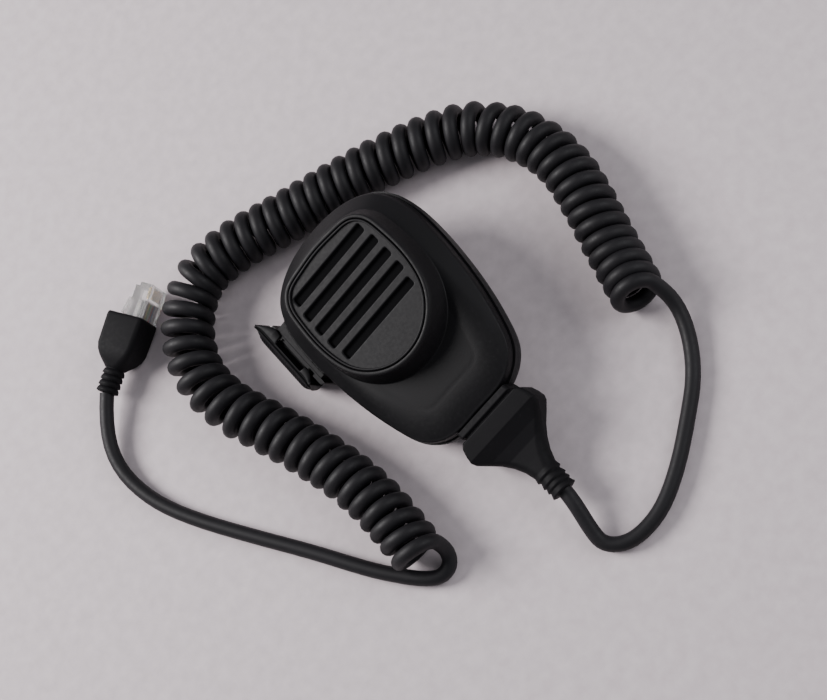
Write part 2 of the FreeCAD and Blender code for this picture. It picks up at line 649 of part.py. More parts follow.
def cord_boot():
    """The rubber boot: a broad collar that narrows to a ribbed neck, with a root inside the housing."""
    body = new_body("boot")
    sketches = []
    for i, (y, half_width, middle, half_height, corner) in enumerate(BOOT):
        sketch = sketch_on(body, "boot_section_%d" % i, "XZ_Plane", offset=-y)
        rounded_section(sketch, half_width, middle, half_height, corner)
        sketches.append(sketch)
    feature = body.newObject("PartDesign::AdditiveLoft", "boot_loft")
    feature.Profile = sketches[0]
    feature.Sections = sketches[1:]
    feature.Ruled = True
    axis = size("cord_axis")
    start = BOOT[-1][0]
    along = (0, -1, 0)
    neck_start = start + 0.2
    neck_length = neck_start - size("neck_end")
    neck = rod("boot_neck", (0, neck_start, axis), size("neck_radius"), neck_length, along)
    ribs = []
    for i in range(4):
        y = start - 0.4 - i * 1.9
        ribs.append(rod("boot_rib_%d" % i, (0, y, axis), size("neck_radius") + size("boot_rib"), 1.0, along))
    half, low, high = size("tail_opening_half") - 0.3, size("tail_opening_base"), size("tail_opening_top")
    root = box("boot_root", (-half, -53, low + 0.3), (half, -47, high - 0.3))
    flange = box("boot_flange", (-half - 1.6, -48.6, low - 0.6), (half + 1.6, -47, high - 0.9))
    whole = fuse("boot_whole", [body, neck, root, flange] + ribs)
    bore = rod("boot_bore", (0, -40, axis), size("cord_diameter") / 2 + size("fit_gap"), 60, along)
    return keep(cut("boot_shape", whole, bore), "cord_boot")


def cord_inside():
    """The cord's own end inside the boot, the clamp over it and the wires to the board."""
    axis = size("cord_axis")
    radius = size("cord_diameter") / 2
    inner_end = -36.4
    length = inner_end - size("neck_end")
    keep(rod("cord_end_rod", (0, inner_end, axis), radius, length, (0, -1, 0)), "cord_end")
    saddle = box("clamp_block", (-7.4, -42.4, axis + 0.3), (7.4, -37.6, axis + 4.3))
    groove = rod("clamp_groove", (0, -30, axis), radius + 0.05, 20, (0, -1, 0))
    holes = group("clamp_holes", [rod("clamp_hole_%d" % i, (x, y, 0), 0.85, 20)
                                  for i, (x, y) in enumerate(CLAMP_SCREWS)])
    keep(cut("clamp_shape", saddle, fuse("clamp_tools", [groove, holes])), "cord_clamp")
    wires = []
    for i in range(4):
        x = -3.0 + 2.0 * i
        start = V(x * 0.35, -36.3, axis + (0.8 if i % 2 else -0.8))
        points = [start, V(x * 0.5, -33.6, start.z), V(x, -30.2, 10.6), V(x, -26.4, 10.6)]
        wire, _ = route_wire([tuple(point) for point in points])
        section = Part.Wire(Part.Circle(start, points[1] - start, 0.45).toShape())
        strand = doc.addObject("Part::Feature", "inner_wire_%d" % i)
        strand.Shape = wire.makePipeShell([section], True, True)
        wires.append(strand)
    keep(group("inner_wire_group", wires), "inner_wires")


# ---------------------------------------------------------------- plug

def plug_boot():
    body = new_body("plug_sleeve")
    half, wide = size("plug_boot_half"), size("plug_boot_wide")
    neck = size("plug_neck")
    start = size("plug_neck_length")
    front = size("plug_boot_front")
    sections = [(start - 3.5, neck, neck, neck * 0.95), (start + 1.0, half - 1.8, wide - 1.8, 3.0),
                (start + 3.4, half - 0.4, wide - 0.6, 2.4), (start + 6.0, half, wide, 2.0),
                (front - 0.8, half, wide, 1.5), (front, half - 0.5, wide - 0.5, 0.9)]
    sketches = []
    for i, (x, half_y, half_z, corner) in enumerate(sections):
        sketch = sketch_on(body, "sleeve_section_%d" % i, "YZ_Plane", offset=x)
        rounded_section(sketch, half_y, 0, half_z, corner)
        sketches.append(sketch)
    feature = body.newObject("PartDesign::AdditiveLoft", "sleeve_loft")
    feature.Profile = sketches[0]
    feature.Sections = sketches[1:]
    feature.Ruled = True
    ribs = [rod("sleeve_neck", (0, 0, 0), neck - 0.5, start, (1, 0, 0))]
    for i in range(4):
        ribs.append(rod("sleeve_rib_%d" % i, (0.3 + 2.2 * i, 0, 0), neck, 1.4, (1, 0, 0)))
    rear = size("plug_tip") - size("plug_length")
    thick = size("plug_thick")
    pocket = box("sleeve_pocket", (rear - 0.2, -size("plug_width") / 2 - 0.05, -thick - 0.05),
                 (front + 1, size("plug_width") / 2 + 0.05, 0.05))
    bore = rod("sleeve_bore", (-1, 0, 0), 1.2, 24, (1, 0, 0))
    whole = fuse("sleeve_whole", [body] + ribs)
    return keep(cut("sleeve_shape", whole, fuse("sleeve_tools", [pocket, bore])), "plug_boot", PLUG_REST)


def modular_plug():
    """The clear plug: its block, the blades, the wires in it and the latch."""
    tip, length = size("plug_tip"), size("plug_length")
    width, thick = size("plug_width"), size("plug_thick")
    rear = tip - length
    block = box("plug_block", (rear, -width / 2, -thick), (tip, width / 2, 0))
    channel = box("plug_channel", (rear - 1, -4.5, -thick + 1.3), (tip - 6.0, 4.5, -thick + 4.2))
    nose = box("plug_nose", (tip - 1.3, -width / 2 - 1, -1.6), (tip + 1, width / 2 + 1, 1))
    pitch, blade = 1.02, 0.32
    slots = []
    blades = []
    wires = []
    for i in range(8):
        y = (i - 3.5) * pitch
        slots.append(box("blade_slot_%d" % i, (tip - 5.2, y - blade / 2 - 0.04, -thick - 1),
                         (tip - 0.7, y + blade / 2 + 0.04, -thick + 1.8)))
        blades.append(box("blade_%d" % i, (tip - 5.15, y - blade / 2, -thick + 0.25),
                          (tip - 0.75, y + blade / 2, -thick + 1.78)))
        wires.append(rod("wire_%d" % i, (rear + 0.1, y, -thick + 2.7), 0.44, length - 6.4, (1, 0, 0)))
    body = cut("plug_shape", block, fuse("plug_tools", [channel, nose] + slots))
    keep(body, "modular_plug", PLUG_REST)
    keep(group("blade_group", blades), "plug_contacts", PLUG_REST)
    keep(group("wire_group", wires), "plug_wires", PLUG_REST)


def plug_latch():
    body = new_body("latch")
    profile = sketch_on(body, "latch_profile", "XZ_Plane", offset=-1.9)
    tip = size("plug_tip")
    # Side view: rooted near the tip, sloping up towards the free end by the boot.
    polygon(profile, [(tip - 1.5, 0.12), (tip - 1.2, 0.9), (tip - 5.6, 2.5), (tip - 5.6, 3.2),
                      (tip - 11.8, 4.5), (tip - 11.8, 3.5), (tip - 4.0, 0.95), (tip - 2.4, 0.12)])
    pad(body, profile, "latch_strip", 3.8)
    return keep(body, "plug_latch", PLUG_REST)


# ---------------------------------------------------------------- build, check and write

def build():
    front_case()
    rear_case()
    seam_gasket()
    grille_panel()
    dust_cloth()
    rear_label()
    hang_up_knob()
    knob_fastening()
    ptt_key()
    ptt_bezel()
    talk_switch()
    circuit_board()
    capsule_parts()
    board_parts()
    fasteners()
    cord_boot()
    cord_inside()
    cords()
    plug_boot()
    modular_plug()
    plug_latch()
    doc.recompute()


def check():
    for obj in doc.Objects:
        if "Invalid" in obj.State or "Error" in obj.State:
            raise RuntimeError("%s failed: %s" % (obj.Name, obj.State))
    for obj in nodes:
        if obj.Shape.isNull() or not obj.Shape.isValid():
            raise RuntimeError("%s has no valid shape" % obj.Label)
        if not obj.Shape.Solids:
            raise RuntimeError("%s has no solid" % obj.Label)


def write():
    os.makedirs("parts", exist_ok=True)
    for obj in nodes:
        obj.Shape.exportStep("parts/%s.step" % obj.Label)
        bounds = obj.Shape.BoundBox
        print("%-20s solids %d  %.0f mm3  z %.2f to %.2f" % (
            obj.Label, len(obj.Shape.Solids), obj.Shape.Volume, bounds.ZMin, bounds.ZMax))


build()
check()
write()
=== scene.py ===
import json
import math
import random

import bmesh
import bpy
import numpy as np
from mathutils import Matrix, Vector
from mathutils.kdtree import KDTree


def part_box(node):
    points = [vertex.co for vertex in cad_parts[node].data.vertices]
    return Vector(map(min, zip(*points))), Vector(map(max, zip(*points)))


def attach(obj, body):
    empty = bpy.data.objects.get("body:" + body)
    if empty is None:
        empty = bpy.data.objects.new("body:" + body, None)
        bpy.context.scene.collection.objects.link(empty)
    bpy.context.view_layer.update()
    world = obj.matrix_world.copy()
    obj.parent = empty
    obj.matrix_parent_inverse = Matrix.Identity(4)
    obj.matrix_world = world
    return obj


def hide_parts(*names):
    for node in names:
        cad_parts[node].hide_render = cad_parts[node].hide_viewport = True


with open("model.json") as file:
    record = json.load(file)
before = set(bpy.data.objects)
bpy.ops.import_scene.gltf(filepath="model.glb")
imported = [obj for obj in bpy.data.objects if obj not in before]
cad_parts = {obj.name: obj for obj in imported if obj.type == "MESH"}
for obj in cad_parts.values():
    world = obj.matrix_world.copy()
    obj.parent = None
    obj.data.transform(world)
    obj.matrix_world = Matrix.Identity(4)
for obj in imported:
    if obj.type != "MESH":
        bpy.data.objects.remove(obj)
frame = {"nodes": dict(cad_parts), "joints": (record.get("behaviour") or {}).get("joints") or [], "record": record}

# Hand microphone on a pale floor. Lengths in the design lists are millimetres; Blender objects
# are in metres, in the frame of the CAD model.

MM = 0.001
FULL_TURN = 2 * math.pi
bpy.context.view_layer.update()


# ---------------------------------------------------------------- frames of the two rigid groups

def unit(values):
    """A vector of length 1."""
    return Vector(values).normalized()


def local_frame(right, out, origin):
    """A matrix from a group's own millimetres to the shared metres."""
    ahead = out.cross(right)
    columns = [axis * MM for axis in (right, ahead, out)]
    matrix = Matrix.Identity(4)
    for i, axis in enumerate(columns):
        matrix[0][i], matrix[1][i], matrix[2][i] = axis
    matrix.translation = origin
    return matrix


mounts = {mount["name"]: mount for mount in frame["record"]["mounts"]}
joints = {joint["name"]: joint for joint in frame["joints"]}

# The microphone: X to its right, Y to its head, Z out of its face.
KNOB_Y, KNOB_TIP = 9.0, -5.7
mic_right = unit(joints["ptt_press"]["axis"])
mic_out = -unit(mounts["knob_head"]["axis"])
mic_ahead = mic_out.cross(mic_right)
mic_origin = Vector(mounts["knob_head"]["pos_m"]) - (mic_ahead * KNOB_Y + mic_out * KNOB_TIP) * MM
MIC = local_frame(mic_right, mic_out, mic_origin)

# The plug: X out of the plug, Z to its latch, which is a level direction.
PLUG_TIP, PLUG_MIDDLE = 41.4, -3.3
plug_right = unit(mounts["plug"]["axis"])
plug_out = Vector((0, 0, 1)).cross(plug_right)
plug_origin = Vector(mounts["plug"]["pos_m"]) - (plug_right * PLUG_TIP + plug_out * PLUG_MIDDLE) * MM
PLUG = local_frame(plug_right, plug_out, plug_origin)


# ---------------------------------------------------------------- camera, floor and light

CAMERA_TARGET = Vector((0.0004, 0.0132, 0.0))
CAMERA_DISTANCE = 0.5468
CAMERA_TILT, CAMERA_HEADING, CAMERA_ROLL = 21.71, -87.08, -46.28
CAMERA_LENS = 68.8

SKY_COLOUR, SKY_STRENGTH = (0.93, 0.95, 1.0, 1), 0.30
# Each light: (place in metres, size in metres, power in watts, colour).
LIGHTS = {
    "key_light": ((-0.62, 0.66, 0.66), 0.60, 20.0, (1.0, 0.975, 0.975)),
    "fill_light": ((0.70, -0.30, 0.60), 0.8, 4.5, (0.97, 0.97, 1.0)),
}


def add_camera():
    """The camera looks back at its target along the tilt and heading, and is turned by the roll."""
    tilt, heading, roll = (math.radians(a) for a in (CAMERA_TILT, CAMERA_HEADING, CAMERA_ROLL))
    back = Vector((math.sin(tilt) * math.cos(heading), math.sin(tilt) * math.sin(heading), math.cos(tilt)))
    level = Vector((0, 0, 1)).cross(back).normalized()
    upright = back.cross(level)
    right = math.cos(roll) * level + math.sin(roll) * upright
    up = math.cos(roll) * upright - math.sin(roll) * level
    camera = bpy.data.objects.new("camera", bpy.data.cameras.new("camera"))
    camera.data.lens = CAMERA_LENS
    camera.data.clip_start = 0.01
    camera.matrix_world = Matrix((right, up, back)).transposed().to_4x4()
    camera.location = CAMERA_TARGET + back * CAMERA_DISTANCE
    bpy.context.scene.collection.objects.link(camera)
    bpy.context.scene.camera = camera


def add_area_light(name, place, size, power, colour):
    """A round soft light that faces the origin."""
    light = bpy.data.objects.new(name, bpy.data.lights.new(name, "AREA"))
    light.data.shape = "DISK"
    light.data.size = size
    light.data.energy = power
    light.data.color = colour
    light.location = place
    light.rotation_euler = (-Vector(place)).to_track_quat("-Z", "Y").to_euler()
    bpy.context.scene.collection.objects.link(light)


def add_lights():
    """A pale sky with a large key light and a weaker fill."""
    world = bpy.data.worlds.new("studio")
    world.use_nodes = True
    world.node_tree.nodes["Background"].inputs["Color"].default_value = SKY_COLOUR
    world.node_tree.nodes["Background"].inputs["Strength"].default_value = SKY_STRENGTH
    bpy.context.scene.world = world
    for name, (place, size, power, colour) in LIGHTS.items():
        add_area_light(name, place, size, power, colour)


# ---------------------------------------------------------------- materials

def new_material(name):
    material = bpy.data.materials.new(name)
    material.use_nodes = True
    return material, material.node_tree.nodes, material.node_tree.links


def noise(nodes, links, coordinates, scale, detail=3.0, kind="ShaderNodeTexNoise"):
    texture = nodes.new(kind)
    texture.inputs["Scale"].default_value = scale
    if "Detail" in texture.inputs:
        texture.inputs["Detail"].default_value = detail
    links.new(coordinates, texture.inputs["Vector"])
    return texture


def ramp(nodes, links, source, stops):
    """A colour ramp over (position, colour) stops."""
    node = nodes.new("ShaderNodeValToRGB")
    elements = node.color_ramp.elements
    while len(elements) < len(stops):
        elements.new(0.5)
    for element, (position, colour) in zip(elements, stops):
        element.position = position
        element.color = (*colour, 1)
    links.new(source, node.inputs["Fac"])
    return node.outputs["Color"]


NOISE_LOW, NOISE_HIGH = 0.3, 0.7


def spread(nodes, links, source, low, high):
    """Map the middle of a noise's range onto low to high."""
    node = nodes.new("ShaderNodeMapRange")
    node.inputs["From Min"].default_value = NOISE_LOW
    node.inputs["From Max"].default_value = NOISE_HIGH
    node.inputs["To Min"].default_value = low
    node.inputs["To Max"].default_value = high
    links.new(source, node.inputs["Value"])
    return node.outputs["Result"]


CLOUD_SCALE, DUST_SCALE = 60.0, 900.0
# The Mix node's colour sockets, which share their names with its other sockets.
MIX_FIRST, MIX_SECOND, MIX_RESULT = 6, 7, 2


def moulded(name, colour, rough, grain=3600.0, grain_depth=0.012, specular=0.5, wear=0.25):
    """Moulded plastic or rubber: a fine grain, uneven gloss, and faint dust and handling marks.

    The grain is a noise scale, and its depth is in millimetres.
    """
    material, nodes, links = new_material(name)
    shader = nodes["Principled BSDF"]
    place = nodes.new("ShaderNodeTexCoord").outputs["Object"]
    cloud = noise(nodes, links, place, CLOUD_SCALE, 4.0).outputs["Fac"]
    fine = noise(nodes, links, place, grain, 2.0).outputs["Fac"]
    dust = noise(nodes, links, place, DUST_SCALE, 6.0).outputs["Fac"]
    pale = tuple(min(1.0, c * 1.9 + 0.006) for c in colour)
    dark = tuple(c * 0.8 for c in colour)
    base = ramp(nodes, links, cloud, [(0.35, dark), (0.65, colour)])
    specks = ramp(nodes, links, dust, [(0.60, (0, 0, 0)), (0.78, (wear, wear, wear))])
    mix = nodes.new("ShaderNodeMix")
    mix.data_type = "RGBA"
    links.new(specks, mix.inputs["Factor"])
    links.new(base, mix.inputs[MIX_FIRST])
    mix.inputs[MIX_SECOND].default_value = (*pale, 1)
    links.new(mix.outputs[MIX_RESULT], shader.inputs["Base Color"])
    links.new(spread(nodes, links, dust, rough - 0.06, rough + 0.06), shader.inputs["Roughness"])
    shader.inputs["Specular IOR Level"].default_value = specular
    bump = nodes.new("ShaderNodeBump")
    bump.inputs["Strength"].default_value = 0.5
    bump.inputs["Distance"].default_value = grain_depth * MM
    links.new(fine, bump.inputs["Height"])
    links.new(bump.outputs["Normal"], shader.inputs["Normal"])
    return material


def metal(name, colour, rough, brushed=0.0):
    """Metal with fine scratches, or a brushed grain along one way."""
    material, nodes, links = new_material(name)
    shader = nodes["Principled BSDF"]
    place = nodes.new("ShaderNodeTexCoord").outputs["Object"]
    mapping = nodes.new("ShaderNodeMapping")
    mapping.inputs["Scale"].default_value = (1.0, 1.0 + brushed, 1.0)
    links.new(place, mapping.inputs["Vector"])
    scratches = noise(nodes, links, mapping.outputs["Vector"], 2500.0, 5.0).outputs["Fac"]
    dull = tuple(c * 0.72 for c in colour)
    links.new(ramp(nodes, links, scratches, [(0.3, dull), (0.62, colour)]), shader.inputs["Base Color"])
    shader.inputs["Metallic"].default_value = 1.0
    links.new(spread(nodes, links, scratches, rough - 0.08, rough + 0.12), shader.inputs["Roughness"])
    bump = nodes.new("ShaderNodeBump")
    bump.inputs["Strength"].default_value = 0.4
    bump.inputs["Distance"].default_value = 0.006 * MM
    links.new(scratches, bump.inputs["Height"])
    links.new(bump.outputs["Normal"], shader.inputs["Normal"])
    return material


def clear_plastic(name):
    """Clear polycarbonate: a little cloudy, with moulding ripples."""
    material, nodes, links = new_material(name)
    shader = nodes["Principled BSDF"]
    place = nodes.new("ShaderNodeTexCoord").outputs["Object"]
    ripple = noise(nodes, links, place, 320.0, 2.0).outputs["Fac"]
    shader.inputs["Base Color"].default_value = (0.93, 0.93, 0.92, 1)
    shader.inputs["Transmission Weight"].default_value = 0.86
    shader.inputs["IOR"].default_value = 1.5
    links.new(spread(nodes, links, ripple, 0.10, 0.24), shader.inputs["Roughness"])
    bump = nodes.new("ShaderNodeBump")
    bump.inputs["Strength"].default_value = 0.5
    bump.inputs["Distance"].default_value = 0.05 * MM
    links.new(ripple, bump.inputs["Height"])
    links.new(bump.outputs["Normal"], shader.inputs["Normal"])
    return material


def woven_cloth(name, colour):
    """A fine dust cloth: crossing threads."""
    material, nodes, links = new_material(name)
    shader = nodes["Principled BSDF"]
    place = nodes.new("ShaderNodeTexCoord").outputs["Object"]
    heights = []
    for axis in ("X", "Y"):
        wave = noise(nodes, links, place, 1400.0, kind="ShaderNodeTexWave")
        wave.bands_direction = axis
        heights.append(wave.outputs["Fac"])
    weave = nodes.new("ShaderNodeMath")
    weave.operation = "MULTIPLY"
    links.new(heights[0], weave.inputs[0])
    links.new(heights[1], weave.inputs[1])
    pale = tuple(c * 2.2 for c in colour)
    links.new(ramp(nodes, links, weave.outputs[0], [(0.1, colour), (0.7, pale)]), shader.inputs["Base Color"])
    shader.inputs["Roughness"].default_value = 0.95
    shader.inputs["Specular IOR Level"].default_value = 0.1
    bump = nodes.new("ShaderNodeBump")
    bump.inputs["Distance"].default_value = 0.05 * MM
    links.new(weave.outputs[0], bump.inputs["Height"])
    links.new(bump.outputs["Normal"], shader.inputs["Normal"])
    return material


WIRE_COLOURS = [(0.05, 0.18, 0.5), (0.62, 0.05, 0.04), (0.55, 0.55, 0.5), (0.03, 0.3, 0.08),
                (0.6, 0.45, 0.04), (0.18, 0.07, 0.03), (0.5, 0.5, 0.52), (0.02, 0.02, 0.02)]


def wire_coating(name, node):
    """Coloured insulation: each wire of a flat row has its own colour by its height in the row."""
    material, nodes, links = new_material(name)
    shader = nodes["Principled BSDF"]
    low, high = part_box(node)
    split = nodes.new("ShaderNodeSeparateXYZ")
    links.new(nodes.new("ShaderNodeTexCoord").outputs["Object"], split.inputs["Vector"])
    share = nodes.new("ShaderNodeMapRange")
    share.inputs["From Min"].default_value = low.z
    share.inputs["From Max"].default_value = high.z
    links.new(split.outputs["Z"], share.inputs["Value"])
    stops = [(i / len(WIRE_COLOURS), colour) for i, colour in enumerate(WIRE_COLOURS)]
    colour = ramp(nodes, links, share.outputs["Result"], stops)
    colour.node.color_ramp.interpolation = "CONSTANT"
    links.new(colour, shader.inputs["Base Color"])
    shader.inputs["Roughness"].default_value = 0.4
    return material


def circuit_green(name):
    """A green board with paler cells for its tracks."""
    material, nodes, links = new_material(name)
    shader = nodes["Principled BSDF"]
    place = nodes.new("ShaderNodeTexCoord").outputs["Object"]
    tracks = noise(nodes, links, place, 420.0, kind="ShaderNodeTexVoronoi").outputs["Distance"]
    links.new(ramp(nodes, links, tracks, [(0.25, (0.02, 0.12, 0.05)), (0.42, (0.01, 0.06, 0.025))]),
              shader.inputs["Base Color"])
    shader.inputs["Roughness"].default_value = 0.35
    return material


def floor_material():
    """A pale board with a soft mottle."""
    material, nodes, links = new_material("pale_floor")
    shader = nodes["Principled BSDF"]
    place = nodes.new("ShaderNodeTexCoord").outputs["Object"]
    mottle = noise(nodes, links, place, 220.0, 5.0).outputs["Fac"]
    links.new(ramp(nodes, links, mottle, [(0.3, (0.58, 0.51, 0.535)), (0.7, (0.66, 0.585, 0.61))]),
              shader.inputs["Base Color"])
    shader.inputs["Roughness"].default_value = 0.75
    bump = nodes.new("ShaderNodeBump")
    bump.inputs["Distance"].default_value = 0.08 * MM
    bump.inputs["Strength"].default_value = 0.35
    links.new(mottle, bump.inputs["Height"])
    links.new(bump.outputs["Normal"], shader.inputs["Normal"])
    return material


# The black mouldings: colour, roughness, grain, grain depth, specular and wear, as moulded() takes them.
BLACKS = {
    "case_black": ((0.0056, 0.0052, 0.0062), 0.50, 2600.0, 0.045, 0.20, 0.3),
    "panel_black": ((0.0066, 0.0062, 0.0074), 0.54, 3400.0, 0.020, 0.20, 0.2),
    "key_black": ((0.0052, 0.0049, 0.0060), 0.48, 3400.0, 0.012, 0.13, 0.3),
    "rubber_black": ((0.0060, 0.0056, 0.0067), 0.62, 1900.0, 0.020, 0.13, 0.35),
    "cord_black": ((0.0092, 0.0086, 0.0104), 0.55, 1500.0, 0.016, 0.26, 0.3),
}


def make_materials():
    """Every finish, by the name of its slot."""
    made = {name: moulded(name, *values) for name, values in BLACKS.items()}
    made.update({
        "clear_plastic": clear_plastic("clear_plastic"),
        "gold": metal("gold", (0.85, 0.62, 0.27), 0.22),
        "steel": metal("steel", (0.56, 0.56, 0.57), 0.3, 6.0),
        "board_green": circuit_green("board_green"),
        "component_dark": moulded("component_dark", (0.02, 0.02, 0.021), 0.5),
        "nylon_white": moulded("nylon_white", (0.7, 0.69, 0.65), 0.45, wear=0.1),
        "capsule_aluminium": metal("capsule_aluminium", (0.7, 0.7, 0.7), 0.28, 8.0),
        "cloth_black": woven_cloth("cloth_black", (0.002, 0.002, 0.0024)),
        "label_grey": metal("label_grey", (0.42, 0.42, 0.43), 0.4, 14.0),
        "wire_colour": wire_coating("wire_colour", "plug_wires"),
    })
    return made


materials = make_materials()


# ---------------------------------------------------------------- shaping helpers

def add_piece(name, mesh_or_curve, slot, body, nodes=()):
    """Link a finished piece, give it its finish, and lay it on its body."""
    piece = bpy.data.objects.new(name, mesh_or_curve)
    bpy.context.scene.collection.objects.link(piece)
    mesh_or_curve.materials.append(materials[slot])
    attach(piece, body)
    if nodes:
        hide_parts(*nodes)
    return piece


def mesh_from(name, points, faces, matrix):
    """A smooth-shaded mesh from points in a group's own millimetres."""
    mesh = bpy.data.meshes.new(name)
    mesh.from_pydata([tuple(matrix @ Vector(point)) for point in points], [], faces)
    mesh.validate()
    mesh.polygons.foreach_set("use_smooth", [True] * len(mesh.polygons))
    return mesh


def ring_mesh(name, rings, matrix, ends="caps"):
    """Join closed rings of equal length. The ends are capped, or the last ring meets the first."""
    count = len(rings[0])
    points = [point for ring in rings for point in ring]
    faces = []
    last = len(rings) if ends == "join" else len(rings) - 1
    for i in range(last):
        here, there = i * count, (i + 1) % len(rings) * count
        for k in range(count):
            ahead = (k + 1) % count
            faces.append((here + k, here + ahead, there + ahead, there + k))
    if ends == "caps":
        faces.append(tuple(reversed(range(count))))
        faces.append(tuple(range((len(rings) - 1) * count, len(rings) * count)))
    mesh = mesh_from(name, points, faces, matrix)
    turn_faces_out(mesh)
    return mesh


def turn_faces_out(mesh):
    """Make every face of a closed mesh look outwards."""
    shape = bmesh.new()
    shape.from_mesh(mesh)
    bmesh.ops.recalc_face_normals(shape, faces=shape.faces)
    shape.to_mesh(mesh)
    shape.free()


def smooth_loop(points, count=1600):
    """The closed smooth curve through the points, as evenly timed samples."""
    knots = np.array(points, float)
    ahead, behind = np.roll(knots, -1, 0), np.roll(knots, 1, 0)
    step = np.linalg.norm(ahead - knots, axis=1)
    step_before = np.roll(step, 1)
    size = len(knots)
    system = np.zeros((size, size))
    for i in range(size):
        system[i, i - 1] = 1 / step_before[i]
        system[i, i] = 2 / step_before[i] + 2 / step[i]
        system[i, (i + 1) % size] = 1 / step[i]
    right = 3 * ((knots - behind) / step_before[:, None] ** 2 + (ahead - knots) / step[:, None] ** 2)
    slope = np.linalg.solve(system, right)
    times = np.linspace(0, step.sum(), count, endpoint=False)
    starts = np.concatenate(([0], np.cumsum(step)[:-1]))
    span = np.searchsorted(starts, times, "right") - 1
    t = ((times - starts[span]) / step[span])[:, None]
    h = step[span][:, None]
    following = (span + 1) % size
    return ((2 * t ** 3 - 3 * t ** 2 + 1) * knots[span] + (t ** 3 - 2 * t ** 2 + t) * h * slope[span]
            + (3 * t ** 2 - 2 * t ** 3) * knots[following] + (t ** 3 - t ** 2) * h * slope[following])


def mirrored(half):
    """A whole outline, anticlockwise from the tail's middle, from its right half."""
    right = list(reversed(half))
    left = [(-x, y) for x, y in half[1:-1]]
    return right + left


def inset(points, distance):
    """Move every point of an anticlockwise outline inwards by the distance."""
    moved = []
    for i, (x, y) in enumerate(points):
        ahead = points[(i + 1) % len(points)]
        behind = points[i - 1]
        dx, dy = ahead[0] - behind[0], ahead[1] - behind[1]
        reach = math.hypot(dx, dy)
        moved.append((x - dy / reach * distance, y + dx / reach * distance))
    return moved


def smooth_max(a, b, blend):
    """The larger of two arrays, rounded off over a blend's width where they cross."""
    near = np.maximum(blend - np.abs(a - b), 0) / blend
    return np.maximum(a, b) + near ** 2 * blend / 4


def smooth_min(a, b, blend):
    """The smaller of two arrays, rounded off in the same way."""
    return -smooth_max(-a, -b, blend)


# ---------------------------------------------------------------- front case

# Half of the housing's outline and of the raised ring's outline, from the head to the tail.
HOUSING = mirrored([(0, 35.6), (11, 34.6), (20, 31.6), (26.6, 26.8), (30.3, 19.5), (32, 8),
                    (31.5, -8), (29.7, -22), (26.4, -36), (21.8, -46), (14, -51.2), (0, -52)])
RING = mirrored([(0, 25.6), (9.5, 24.9), (17.2, 23.0), (21.0, 18.6), (22.4, 12), (22.9, 3.5),
                 (22.1, -6), (19.6, -13.8), (14.8, -20.0), (8, -24.3), (0, -25.8)])
OUTLINE_CENTRE = np.array([0.0, -6.0])
CASE_STEPS = 420
SEAM, FACE, PANEL_SEAT = 11.25, 27.0, 25.2
KEY_WINDOW = {"right": -23.5, "low": -3.0, "high": 21.4, "top": 15.5}
CORD_MOUTH = {"half": 9.5, "front": -46.0, "top": 13.6}
SHOULDER, SHOULDER_SLOPE = 19.6, math.tan(math.radians(3.5))
BEVEL_DEPTH, BEVEL_LEVEL, BEVEL_SLOPE = 1.5, 15.75, 0.711
RING_FOOT = -4.4
# The shell's wall from the seam up: (depth inside the housing, level, share of the shoulder's slope).
WALL_RINGS = [(2.4, SEAM, 0), (0.85, SEAM, 0), (0.66, SEAM + 0.06, 0), (0.6, SEAM + 0.25, 0),
              (0.72, 13.2, 0.08), (0.88, 14.5, 0.14), (1.0, 15.05, 0.18), (1.2, 15.45, 0.22)]
# The raised ring's lip, the seat of the panel inside it, and its underside: (depth inside the ring, level).
SEAT_RINGS = [(0.7, FACE), (1.02, FACE - 0.02), (1.2, FACE - 0.12), (1.3, FACE - 0.35),
              (1.3, PANEL_SEAT), (2.9, PANEL_SEAT), (2.9, 24.1), (1.6, 22.0)]

angles = np.linspace(-math.pi, math.pi, CASE_STEPS, endpoint=False)


def radii(outline):
    """How far a smooth outline is from the centre at every angle."""
    loop = smooth_loop(outline) - OUTLINE_CENTRE
    turn = np.arctan2(loop[:, 1], loop[:, 0])
    order = np.argsort(turn)
    reach = np.hypot(loop[:, 0], loop[:, 1])
    return np.interp(angles, turn[order], reach[order], period=FULL_TURN)


def around(reach):
    """The plan points at a distance from the centre at every angle."""
    return OUTLINE_CENTRE + np.stack([np.cos(angles) * reach, np.sin(angles) * reach], 1)


def distance_finder(outline):
    """A function that gives the distance of plan points from a smooth outline."""
    loop = smooth_loop(outline, 5000)
    tree = KDTree(len(loop))
    for i, (x, y) in enumerate(loop):
        tree.insert((x, y, 0), i)
    tree.balance()
    return lambda plan: np.array([tree.find((x, y, 0))[2] for x, y in plan])


